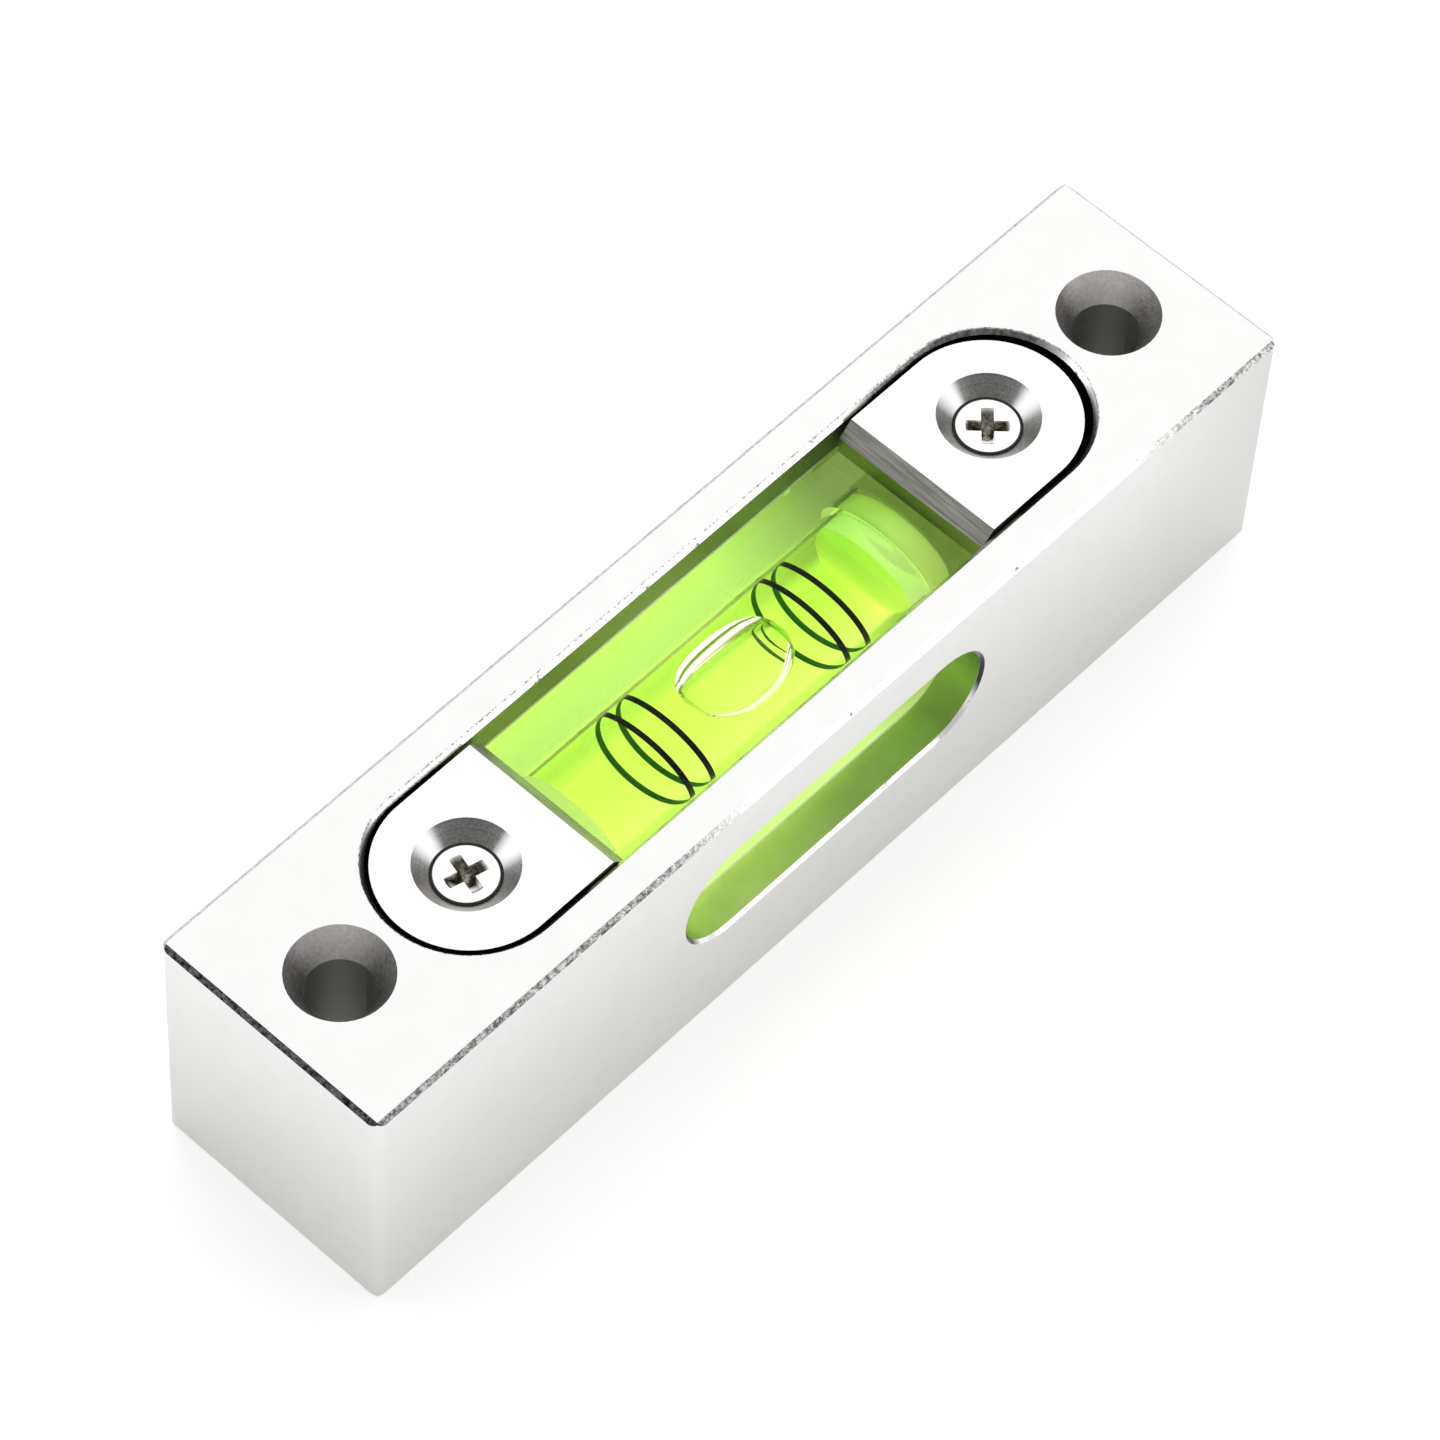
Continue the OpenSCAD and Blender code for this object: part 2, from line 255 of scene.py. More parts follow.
def object_point(tree):
    """Object coordinates in millimetres, whole and split into X, Y and Z."""
    place = add(tree, "ShaderNodeTexCoord")
    scaled = add(tree, "ShaderNodeVectorMath", {0: place.outputs["Object"], "Scale": 1 / MM},
                 operation="SCALE").outputs[0]
    return scaled, add(tree, "ShaderNodeSeparateXYZ", {0: scaled}).outputs


def facing(tree):
    """The way the face points, split into X, Y and Z."""
    normal = add(tree, "ShaderNodeTexCoord").outputs["Normal"]
    return add(tree, "ShaderNodeSeparateXYZ", {0: normal}).outputs


def where(tree, *limits):
    """1 where all the limits hold, as a product. A limit is a mask, or a value with its low and high end,
    which fade over twice FADE or over twice a fourth number."""
    mask = 1.0
    for limit in limits:
        if isinstance(limit, tuple):
            value, low, high, fade = (*limit, FADE)[:4]
            rise = add(tree, "ShaderNodeMapRange", {"Value": value, "From Min": low - fade,
                       "From Max": low + fade})
            fall = add(tree, "ShaderNodeMapRange", {"Value": value, "From Min": high - fade,
                       "From Max": high + fade, "To Min": 1.0, "To Max": 0.0})
            ends = {0: rise.outputs[0], 1: fall.outputs[0]}
            limit = add(tree, "ShaderNodeMath", ends, operation="MULTIPLY").outputs[0]
        mask = add(tree, "ShaderNodeMath", {0: mask, 1: limit}, operation="MULTIPLY").outputs[0]
    return mask


def around(tree, axes, x):
    """The plan vector from the upright line at (x, 0), and its length."""
    across = add(tree, "ShaderNodeMath", {0: axes["X"], 1: x}, operation="SUBTRACT")
    plan = add(tree, "ShaderNodeCombineXYZ", {"X": across.outputs[0], "Y": axes["Y"]}).outputs[0]
    return plan, add(tree, "ShaderNodeVectorMath", {0: plan}, operation="LENGTH").outputs["Value"]


def towards(tree, plan, azimuth, spread):
    """1 along the direction azimuth of a plan vector, fading to 0 at spread degrees to each side."""
    unit = add(tree, "ShaderNodeVectorMath", {0: plan}, operation="NORMALIZE").outputs[0]
    way = (float(np.cos(np.radians(azimuth))), float(np.sin(np.radians(azimuth))), 0.0)
    along = add(tree, "ShaderNodeVectorMath", {0: unit, 1: way}, operation="DOT_PRODUCT").outputs["Value"]
    return add(tree, "ShaderNodeMapRange", {"Value": along, "From Min": float(np.cos(np.radians(spread))),
               "From Max": 1.0}, interpolation_type="SMOOTHSTEP").outputs[0]


print("masks fade over %.1f mm" % (2 * FADE))

# %% [markdown]
# On real metal one finish lies over another: blasting over the mill's marks, a filed edge over the
# blasting. The colours are stacked the same way, each with its mask. Inside a finish the colour wanders
# with a noise, because no hand or machine leaves an even skin.

# %% Layers and grain
def layered(tree, colour, *layers):
    """The colour under layers of (mask, colour), each laid over the last where its mask is 1."""
    for mask, over in layers:
        colour = add(tree, "ShaderNodeMix", {"Factor": mask, 6: colour, 7: over},
                     data_type="RGBA").outputs[2]
    return colour


def graded(tree, value, low, low_colour, high, high_colour):
    """low_colour up to the value low, high_colour from high on, and an even change between them."""
    share = add(tree, "ShaderNodeMapRange", {"Value": value, "From Min": low, "From Max": high}).outputs[0]
    return layered(tree, low_colour, (share, high_colour))


def mottled(tree, point, size, one, other, low=0.0, high=1.0, detail=3.0, roughness=0.6):
    """Patches up to about size millimetres across, one colour where the noise is low and the other above."""
    patches = add(tree, "ShaderNodeTexNoise", {"Vector": point, "Scale": 1 / size, "Detail": detail,
                  "Roughness": roughness})
    return graded(tree, patches.outputs["Fac"], low, one, high, other)


print("layers and grain ready")

# %% [markdown]
# The bar is aluminium, milled, blasted with glass beads and clear anodised. Beads leave a satin skin of tiny
# dents, so it mirrors only broad light and shade. The edges, the recess and the countersinks were cut or
# broken with a file afterwards: there the metal has nicks, and it is drawn darker or lighter by where the
# light falls, as painted shade and painted highlights.
# First come the limits that the masks share: which way a face points and what it lies near.

# %% Limits on the bar
blasted, tree = start_material("bead_blasted_aluminium")
point, axes = object_point(tree)
normal = facing(tree)
SCREW_XS = [float(sum(box[0] for box in node_box("clamp_screw_" + end)) / 2) for end in ("left", "right")]
LEDGE = node_box("clamp_plate_left")[0][2]
POCKET_FLOOR = node_box("vial_block")[0][2]
MOUNT_INSET = 7.5
RECESS_HALF_L = 38.0
EDGE = 0.5
across = add(tree, "ShaderNodeMath", {0: axes["Y"]}, operation="ABSOLUTE").outputs[0]
along = add(tree, "ShaderNodeMath", {0: axes["X"]}, operation="ABSOLUTE").outputs[0]
upright = (normal["Z"], -0.4, 0.4)
sloping = (normal["Z"], 0.5, 0.9)
by_top = (axes["Z"], TOP - EDGE, EVER)
near_recess = (along, -1.0, RECESS_HALF_L)
end_sign = add(tree, "ShaderNodeMath", {0: axes["X"]}, operation="SIGN").outputs[0]
mount_x = HALF_L - MOUNT_INSET
nearest_mount = add(tree, "ShaderNodeMath", {0: end_sign, 1: mount_x}, operation="MULTIPLY").outputs[0]
mount_plan, mount_far = around(tree, axes, nearest_mount)
print("ledge at %.2f, pocket floor at %.2f, screws at" % (LEDGE, POCKET_FLOOR), SCREW_XS)

# %% [markdown]
# The cuts lie in layers from the outside in: the bevelled edges, the countersinks and bores of the
# mounting holes, the mouth and the wall of the recess, and the ledge under the plates. The mouth's outer
# line is a distance from the recess's centre line, so it stays even round both ends.

# %% Cuts from above
SINK_R, MOUNT_R = 4.4, 3.0
WALL_W, RIM_W = 9.0, 9.2
MOUTH_IN, MOUTH_OUT = 8.08, 8.2
ROUND_BACK = 0.3
front_edge = where(tree, sloping, by_top, (axes["Y"], -EVER, EDGE - HALF_W))
left_edge = where(tree, sloping, by_top, (axes["X"], -EVER, EDGE - HALF_L))
back_edge = where(tree, sloping, by_top, (axes["Y"], HALF_W - EDGE, EVER))
right_edge = where(tree, sloping, by_top, (axes["X"], HALF_L - EDGE, EVER))
sunk = where(tree, (normal["Z"], 0.3, 0.9), (mount_far, -1.0, SINK_R))
bored = where(tree, upright, (mount_far, -1.0, MOUNT_R))
rim = where(tree, sloping, by_top, near_recess, (across, -1.0, RIM_W),
            (mount_far, SINK_R + 0.1, EVER))
recess_wall = where(tree, upright, near_recess, (across, -1.0, WALL_W),
                    (axes["Z"], LEDGE - 0.2, TOP - 0.3))
# The ledge lies in the narrow gap under the plates; its near-black colour further down is painted shade.
ledge = where(tree, (normal["Z"], 0.95, 2.0), (axes["Z"], LEDGE - 0.05, LEDGE + 0.05, 0.01))
round_x = -SCREW_XS[0] - ROUND_BACK
past_round = add(tree, "ShaderNodeMath", {0: along, 1: round_x}, operation="SUBTRACT").outputs[0]
past_round = add(tree, "ShaderNodeMath", {0: past_round, 1: 0.0}, operation="MAXIMUM").outputs[0]
mouth_plan = add(tree, "ShaderNodeCombineXYZ", {"X": past_round, "Y": axes["Y"]}).outputs[0]
mouth_far = add(tree, "ShaderNodeVectorMath", {0: mouth_plan}, operation="LENGTH").outputs["Value"]
mouth_line = where(tree, by_top, (mouth_far, MOUTH_IN, MOUTH_OUT, 0.04), (axes["Y"], -6.5, EVER))
print("the recess is round beyond x %.2f" % round_x)

# %% [markdown]
# The pocket under the vial and the window in the front wall are cut before the vial goes in. The pocket is
# painted white, which is what makes the vial seem to glow, and the window's own faces get a painted green
# for the light that comes out through them.

# %% Pocket and window
POCKET_HALF_W = 7.77
WALL_IN, WALL_OUT, WINDOW_TOP = -7.79, -10.93, 20.2
by_window = (along, -1.0, 20.0)
pocket = where(tree, (axes["Z"], POCKET_FLOOR - 0.1, LEDGE - 0.02), (across, -1.0, POCKET_HALF_W, 0.01),
               (along, -1.0, 24.0))
window = where(tree, by_window, (axes["Y"], WALL_OUT, WALL_IN, 0.02),
               (axes["Z"], POCKET_FLOOR - 0.3, WINDOW_TOP))
window_rim = where(tree, by_window, (axes["Y"], WALL_OUT - 0.3, WALL_OUT - 0.02, 0.01),
                   (axes["Z"], POCKET_FLOOR - 0.6, WINDOW_TOP + 0.3), (normal["Y"], -0.9, 0.9))
print("window from z %.2f to %.2f" % (POCKET_FLOOR - 0.3, WINDOW_TOP))

# %% [markdown]
# Glass beads of a tenth of a millimetre leave dents finer than a pixel. They are drawn about three times as
# coarse, so that they still show as a faint grain. A file leaves nicks of about half a millimetre, and where
# it slipped, stretches of a millimetre or two, which are drawn bright as painted highlights on the filed
# edges.

# %% Grain of the bar
BEAD, NICK, STRETCH, CLOUD = 0.3, 0.42, 1.6, 2.8
beads = add(tree, "ShaderNodeTexNoise", {"Vector": point, "Scale": 1 / BEAD, "Detail": 4.0,
            "Roughness": 0.7}).outputs["Fac"]
nicks = add(tree, "ShaderNodeTexNoise", {"Vector": point, "Scale": 1 / NICK, "Detail": 5.0,
            "Roughness": 0.8}).outputs["Fac"]
stretches = add(tree, "ShaderNodeTexNoise", {"Vector": point, "Scale": 1 / STRETCH, "Detail": 6.0,
                "Roughness": 0.75}).outputs["Fac"]
# Painted highlight: the countersinks are lighter on their side towards azimuth 48 degrees, where they mirror
# the light.
grit_and_painted_highlight = layered(tree, graded(tree, beads, 0.32, "#7C7A78", 0.68, "#B0AEAC"),
               (towards(tree, mount_plan, 48.0, 70.0), graded(tree, beads, 0.3, "#E0DCDA", 0.7, "#FFFDFC")))
# Painted highlight: the front chamfer's filed stretches are lighter between x -13 and 35, where the chamfer
# mirrors the light.
filed_front_and_painted_highlight = layered(tree, graded(tree, nicks, 0.42, "#565654", 0.62, "#D0D0CE"),
                      (where(tree, (axes["X"], -13.0, 35.0, 6.0)),
                       graded(tree, stretches, 0.36, "#807E7C", 0.41, "#F8F8F6")))
# Painted shade: the left end's chamfer is the filed finish in a dark copy, as it faces away from the light.
filed_left_painted_shade = graded(tree, nicks, 0.42, "#181817", 0.66, "#8A8A88")
# Painted light: the back and right chamfers are the filed finish in a light copy, as they face the light.
filed_far_painted_light = graded(tree, nicks, 0.35, "#A4A4A2", 0.6, "#E4E4E2")
# Painted shade: the recess rim is darker on the far arc round the right plate, which faces away from the
# light.
filed_rim_and_painted_shade = layered(tree, graded(tree, stretches, 0.36, "#8A8886", 0.41, "#F8F8F6"),
                    (where(tree, (axes["X"], 22.0, EVER, 2.0), (axes["Y"], 1.0, EVER, 1.5)),
                     graded(tree, nicks, 0.35, "#3A3A38", 0.7, "#9C9C9A")))
print("beads of %.1f mm, nicks of %.2f mm" % (BEAD, NICK))

# %% [markdown]
# What lies deep gets less light than a lamp can give it through the lenses of the vial, so light and shade
# are painted on here. The recess wall gets painted shade beside the plates and a painted green light beside
# the vial, and the window's faces get a painted green light that fades from the pale green of the middle to
# a deeper one, with painted shade at the dull left end.

# %% Green light in the cuts
# Painted shade on the recess wall beside the plates, and painted green light beside the vial.
recess_shade = layered(tree, "#161715", (where(tree, (axes["X"], -22.0, 20.5, 1.0)), "#8C9086"))
dotted = mottled(tree, point, 0.3, "#6A6866", "#F4F4F2", 0.4, 0.55, 5.0, 0.8)
pale_green = mottled(tree, point, 3.0, "#E4F4BC", "#CCE0A0")
# Painted light: the window's faces get the green of the vial's light, with painted shade at the left end.
window_painted_green_light = layered(tree, mottled(tree, point, 3.0, "#A9C084", "#8AA562"),
                       (where(tree, (axes["X"], -EVER, 0.0, 16.0)), pale_green),
                       (where(tree, (axes["X"], -EVER, -15.0, 2.5)), "#8CA060"))
# Painted shade: the window's rim is dark at both ends of the window.
window_line_and_painted_shade = layered(tree, graded(tree, stretches, 0.36, "#8A8A86", 0.42, "#F2F2F0"),
                      (where(tree, (along, 15.6, EVER, 0.5)), "#3A3A36"))
print("cuts coloured")

# %% [markdown]
# Now the bar's layers come together, from the blasted skin up. The skin gets painted shade: a little darker
# towards the table, at the right end of the front, and on the round corner there, which turns away into
# shade. Metal mirrors white paint badly, so the painted pocket is a shader of its own, and its paint gets
# painted shade towards the right end and at both ends of the pocket.

# %% Bar
clouds = add(tree, "ShaderNodeTexNoise", {"Vector": point, "Scale": 1 / CLOUD, "Detail": 2.0,
             "Roughness": 0.6}).outputs["Fac"]
# Painted shade: the skin is darker towards the table and at the right end of the front.
foot_painted_shade = add(tree, "ShaderNodeMapRange", {"Value": axes["Z"], "From Min": 0.0, "From Max": TOP, "To Min": 1.0,
           "To Max": 0.0}).outputs[0]
front_right_painted_shade = where(tree, (normal["Y"], -EVER, -0.9), (axes["X"], 42.0, EVER, 8.0))
# Painted shade: the round corner at the front right is dark where it turns away from the light.
corner = where(tree, upright, (normal["X"], 0.45, EVER), (normal["Y"], -EVER, -0.3))
colour = layered(tree, "#EDEDEC", (clouds, "#E5E5E4"), (foot_painted_shade, "#D0D0CD"), (front_right_painted_shade, "#D4D4D2"),
                 (corner, "#8E8E8C"), (sunk, grit_and_painted_highlight), (front_edge, filed_front_and_painted_highlight), (left_edge, filed_left_painted_shade),
                 (back_edge, filed_far_painted_light), (right_edge, filed_far_painted_light), (rim, filed_rim_and_painted_shade),
                 (recess_wall, recess_shade), (ledge, "#0C0C0B"), (mouth_line, dotted), (bored, "#D0D2CC"),
                 (window, window_painted_green_light), (window_rim, window_line_and_painted_shade))
bump = add(tree, "ShaderNodeBump", {"Height": beads, "Strength": 0.12, "Distance": 0.0001})
filed = front_edge
for edge in (rim, window_rim):
    filed = add(tree, "ShaderNodeMath", {0: filed, 1: edge}, operation="MAXIMUM").outputs[0]
rough = add(tree, "ShaderNodeMapRange", {"Value": filed, "To Min": 0.45, "To Max": 0.25}).outputs[0]
metal = add(tree, "ShaderNodeBsdfPrincipled", {"Base Color": colour, "Metallic": 1.0, "Roughness": rough,
            "Normal": bump.outputs[0]})
# Painted shade: the white pocket paint is darker towards the right end and at both ends of the pocket.
pocket_paint_and_painted_shade = layered(tree, "#F7F7F2", (where(tree, (axes["X"], 14.0, EVER, 6.0)), "#D4D8C4"),
                (where(tree, (along, 21.9, EVER)), "#D4D8C0"))
lacquer = add(tree, "ShaderNodeBsdfPrincipled", {"Base Color": pocket_paint_and_painted_shade, "Roughness": 0.7})
bar = add(tree, "ShaderNodeMixShader", {0: pocket, 1: metal.outputs[0], 2: lacquer.outputs[0]})
add(tree, "ShaderNodeOutputMaterial", {"Surface": bar.outputs[0]})
dress(nodes["body"], blasted)
print("bar dressed with", len(tree.nodes), "nodes")

# %% [markdown]
# The clamp plates are cut from the same aluminium. Their straight edge has a bevel with the long
# streaks of the mill, and their countersinks were turned by a cutter, whose grooves run round the screw.
# Grooves throw light sideways, so a turned cone shows two bright fans with darker metal between them.
# The shader's anisotropy does that alone under one lamp. Here, where the lamps are broad, the two fans are
# painted highlights and the metal between them painted shade as well. The left plate's bevel is painted
# lighter than the right one's, the plates' sides get painted shade, and the straight edge below the bevel a
# painted green reflection of the vial.

# %% Plates
STREAK, GROOVE, CUT = 0.6, 0.12, 0.2


def plate_material(name, screw_x, bevel_low, bevel_high):
    """Blasted top, bevel streaked between two greys, sides in painted shade, a straight edge with a painted
    green reflection, and a turned countersink around screw_x with painted fans and painted shade.
    """
    material, tree = start_material(name)
    point, axes = object_point(tree)
    slope = facing(tree)["Z"]
    upright, sloping = (slope, -0.4, 0.4), (slope, 0.5, 0.9)
    along = add(tree, "ShaderNodeMath", {0: axes["X"]}, operation="ABSOLUTE").outputs[0]
    plan, far = around(tree, axes, screw_x)
    mill = add(tree, "ShaderNodeMapping", {"Vector": point, "Scale": (3.0, 0.12, 3.0)}).outputs[0]
    # Painted shade on the plates' sides in their narrow gaps, and a painted green reflection of the vial on
    # the straight edge below the bevel.
    skin = layered(tree, mottled(tree, point, CLOUD, "#EFEFED", "#E9E9E7", detail=2.0),
                   (where(tree, sloping, (far, SINK_R + 0.2, EVER)),
                    mottled(tree, mill, STREAK, bevel_low, bevel_high, 0.35, 0.65, 4.0)),
                   (where(tree, upright, (far, 3.0, EVER)), "#101010"),
                   (where(tree, upright, (along, -1.0, abs(screw_x) - 5.0, 0.3)), "#8E9478"))
    dents = add(tree, "ShaderNodeTexNoise", {"Vector": point, "Scale": 1 / BEAD, "Detail": 4.0,
                "Roughness": 0.7}).outputs["Fac"]
    bump = add(tree, "ShaderNodeBump", {"Height": dents, "Strength": 0.08, "Distance": 0.0001})
    flat = add(tree, "ShaderNodeBsdfPrincipled", {"Base Color": skin, "Metallic": 1.0, "Roughness": 0.42,
               "Normal": bump.outputs[0]})
    lathe = add(tree, "ShaderNodeCombineXYZ", {"X": far}).outputs[0]
    cuts = []
    for vector, size in ((lathe, GROOVE), (point, CUT)):
        cuts.append(add(tree, "ShaderNodeTexNoise", {"Vector": vector, "Scale": 1 / size, "Detail": 3.0,
                        "Roughness": 0.6}).outputs["Fac"])
    cuts = add(tree, "ShaderNodeMix", {"Factor": 0.5, 2: cuts[0], 3: cuts[1]}).outputs[0]
    shade = graded(tree, cuts, 0.35, "#686664", 0.65, "#9C9A98")
    # Painted shade between the fans, and two painted highlights, the white fans at 101 and -20 degrees.
    turned = layered(tree, graded(tree, cuts, 0.35, "#989694", 0.65, "#D8D6D4"),
                     (towards(tree, plan, 41.0, 75.0), shade), (towards(tree, plan, 101.0, 24.0), "#FFFFFF"),
                     (towards(tree, plan, -20.0, 24.0), "#FFFFFF"))
    groove = add(tree, "ShaderNodeVectorMath", {0: plan, 1: (0.0, 0.0, 1.0)}, operation="CROSS_PRODUCT")
    cone = add(tree, "ShaderNodeBsdfPrincipled", {"Base Color": turned, "Metallic": 1.0, "Roughness": 0.35,
               "Anisotropic": 0.8, "Tangent": groove.outputs[0]})
    sunk = where(tree, sloping, (far, -1.0, SINK_R))
    plate = add(tree, "ShaderNodeMixShader", {0: sunk, 1: flat.outputs[0], 2: cone.outputs[0]})
    add(tree, "ShaderNodeOutputMaterial", {"Surface": plate.outputs[0]})
    return material


# Painted light and shade: the left plate's bevel is lighter and the right one's darker, by how the light
# falls.
BEVEL_GREYS_LIT_AND_SHADED = (("#A8A8A4", "#DCDCD8"), ("#7E7E78", "#B2B2AA"))
for end, screw_x, greys in zip(("left", "right"), SCREW_XS, BEVEL_GREYS_LIT_AND_SHADED):
    dress(nodes["clamp_plate_" + end], plate_material("milled_aluminium_" + end, screw_x, *greys))
print("plates dressed")

# %% [markdown]
# The clamp screws are cold-headed steel with a thin bright nickel plate. The flat of the head is almost a
# mirror, its rolled rim curves away into shade, which is painted dark, and the punched cross is drawn
# darker. One arm of the cross catches the light, as a painted white highlight. The arm is far too small for
# a lamp of its own, so it glows a little as well.

# %% Screws
screw_low, screw_high = node_box("clamp_screw_left")
HEAD_R = (screw_high[1] - screw_low[1]) / 2
ROLLED = 0.24


def screw_material(name, screw_x):
    """Bright flat, rolled rim of width ROLLED in painted shade, and a darker cross with one arm in painted
    highlight.
    """
    material, tree = start_material(name)
    point, axes = object_point(tree)
    plan, far = around(tree, axes, screw_x)
    depth = add(tree, "ShaderNodeMapRange", {"Value": axes["Z"], "From Min": screw_high[2] - 0.3,
                "From Max": screw_high[2] - 0.05, "To Min": 1.0, "To Max": 0.0}).outputs[0]
    # Painted highlight: the white arm of the cross and its glint. The rolled rim's dark colour below is
    # painted shade.
    painted_arm_highlight = where(tree, towards(tree, plan, 223.0, 80.0), (far, 0.35, 1.5, 0.15))
    darker_cross_and_painted_highlight = layered(tree, mottled(tree, point, 0.25, "#4A453C", "#A39C90", 0.35, 0.7), (painted_arm_highlight, "#FFFFFF"))
    skin = layered(tree, mottled(tree, point, 0.5, "#F0EEEA", "#E2E0DC"),
                   (where(tree, (far, HEAD_R - ROLLED, EVER, 0.03)), "#2A2A28"),
                   (where(tree, depth, (far, -1.0, 2.2)), darker_cross_and_painted_highlight))
    lit = where(tree, painted_arm_highlight, depth)
    glint = add(tree, "ShaderNodeMath", {0: lit, 1: 0.7}, operation="MULTIPLY").outputs[0]
    metal = add(tree, "ShaderNodeBsdfPrincipled", {"Base Color": skin, "Metallic": 1.0, "Roughness": 0.28,
                "Emission Color": "#FFFFFF", "Emission Strength": glint})
    add(tree, "ShaderNodeOutputMaterial", {"Surface": metal.outputs[0]})
    return material


for end, screw_x in zip(("left", "right"), SCREW_XS):
    dress(nodes["clamp_screw_" + end], screw_material("nickel_plated_steel_" + end, screw_x))
print("screw heads %.1f mm across" % (2 * HEAD_R))

# %% [markdown]
# The magnets are pressed discs with the same plating, ground flat and scuffed by what they have held.
# They lie flush with the base and hardly ever show, so one noise drives both their colour and their
# gloss: where a scuff is, the plate is darker and duller.

# %% Magnets
SCUFF = 0.8
magnet_skin, tree = start_material("nickel_plated_magnet")
point, axes = object_point(tree)
scuffs = add(tree, "ShaderNodeTexNoise", {"Vector": point, "Scale": 1 / SCUFF, "Detail": 6.0,
             "Roughness": 0.7}).outputs["Fac"]
worn = add(tree, "ShaderNodeMapRange", {"Value": scuffs, "To Min": 0.18, "To Max": 0.34}).outputs[0]
metal = add(tree, "ShaderNodeBsdfPrincipled", {"Base Color": layered(tree, "#D8D6D2", (scuffs, "#B4B2AE")),
            "Metallic": 1.0, "Roughness": worn})
add(tree, "ShaderNodeOutputMaterial", {"Surface": metal.outputs[0]})
for number in range(1, 5):
    dress(nodes["magnet_%d" % number], magnet_skin)
print("4 magnets dressed")

# %% [markdown]
# The vial is a block of cast acrylic, drilled from one end and polished. The bore is filled with a dyed
# spirit, and a stopper and clear resin close it. Light bends wherever the material changes, so each
# boundary is one surface with the ratio of the two indexes: acrylic to air outside, acrylic to liquid
# at the bore, and liquid to air at the bubble. Two surfaces back to back would bend it twice.

# %% Sizes inside the vial
block_low, block_high = node_box("vial_block")
ring_boxes = [node_box("ring_%d" % number) for number in range(1, 5)]
bore_r = (ring_boxes[0][1][2] - ring_boxes[0][0][2]) / 2
axis_z = (ring_boxes[0][1][2] + ring_boxes[0][0][2]) / 2
liquid_low = node_box("vial_liquid")[0]
stopper_low, stopper_high = node_box("stopper")
seal_low, seal_high = node_box("resin_seal")
bubble_low, bubble_high = node_box("bubble")
SKIN = 0.02
HEAD_T = 2.5
shoulder = stopper_high[0] - HEAD_T
print("bore radius %.2f on z %.2f, shoulder at x %.2f" % (bore_r, axis_z, shoulder))

# %% [markdown]
# Lamp light would lose its way in all these lenses and leave the vial dark. Many more light bounces
# would bring it back slowly. Here a lamp's ray goes straight through, tinted, while the rays that the
# eye follows are bent. The dye takes out blue over the length of the path, and the acrylic has the same
# tint, because the whole block sits in green light.

# %% Clear materials
ACRYLIC = 1.49
LIQUID = 1.36


def let_lamps_through(tree, surface):
    """The surface for every ray but a lamp's, which goes straight on."""
    straight = add(tree, "ShaderNodeBsdfTransparent", {"Color": "#FFFFFF"})
    lamp_ray = add(tree, "ShaderNodeLightPath").outputs["Is Shadow Ray"]
    return add(tree, "ShaderNodeMixShader", {0: lamp_ray, 1: surface.outputs[0], 2: straight.outputs[0]})


def clear_material(name, ior, density=0.0, dye="#FFFFFF"):
    """A polished clear boundary. The dye over the density is what the piece behind it absorbs."""
    material, tree = start_material(name)
    polished = add(tree, "ShaderNodeBsdfPrincipled", {"Base Color": "#FFFFFF", "Roughness": 0.0, "IOR": ior,
                   "Transmission Weight": 1.0, "Specular Tint": "#606060"})
    out = {"Surface": let_lamps_through(tree, polished).outputs[0]}
    if density:
        absorb = add(tree, "ShaderNodeVolumeAbsorption", {"Color": dye, "Density": density})
        out["Volume"] = absorb.outputs[0]
    add(tree, "ShaderNodeOutputMaterial", out)
    return material


acrylic = clear_material("cast_acrylic", ACRYLIC, density=30.0, dye="#E4FF58")
wet_bore = clear_material("acrylic_wet_with_liquid", ACRYLIC / LIQUID)
print("acrylic bends by %.2f, the wet bore by %.3f" % (ACRYLIC, ACRYLIC / LIQUID))

# %% [markdown]
# The saw leaves the underside of the block frosted. A rough glass shader would be the true recipe, but it is
# slow and grainy under so many lenses. As the painted pocket lies right behind it, the underside is drawn as
# a matt skin with a painted green glow for the light that the two give together. The glow is weaker and the
# skin painted darker at the right end, as painted shade where the stopper and the plate keep the light off.

# %% Frosted underside
frosted, tree = start_material("frosted_acrylic_underside")
point, axes = object_point(tree)
# Painted shade: the underside is darker and glows less at the covered right end; the glow itself is painted
# light.
covered = where(tree, (axes["X"], 14.0, EVER, 6.0))
etched_and_painted_shade = layered(tree, mottled(tree, point, 3.3, "#EAFFB8", "#DCFF9C", detail=2.0), (covered, "#A8BC84"))
glow = add(tree, "ShaderNodeMapRange", {"Value": covered, "To Min": 0.42, "To Max": 0.26}).outputs[0]
ground = add(tree, "ShaderNodeBsdfPrincipled", {"Base Color": etched_and_painted_shade, "Roughness": 0.8,
             "Specular IOR Level": 0.0, "Emission Color": layered(tree, "#E4FFA8", (covered, "#D8F4A0")),
             "Emission Strength": glow})
add(tree, "ShaderNodeOutputMaterial", {"Surface": ground.outputs[0]})
print("underside ready")

# %% [markdown]
# The block's outside is a rounded rectangle carried upwards, and its inside is the turned outline of
# the drill. A boolean would cut one from the other, with long thin triangles that show in glass. The
# two closed walls are simply kept in one mesh instead, the inner one facing the axis.

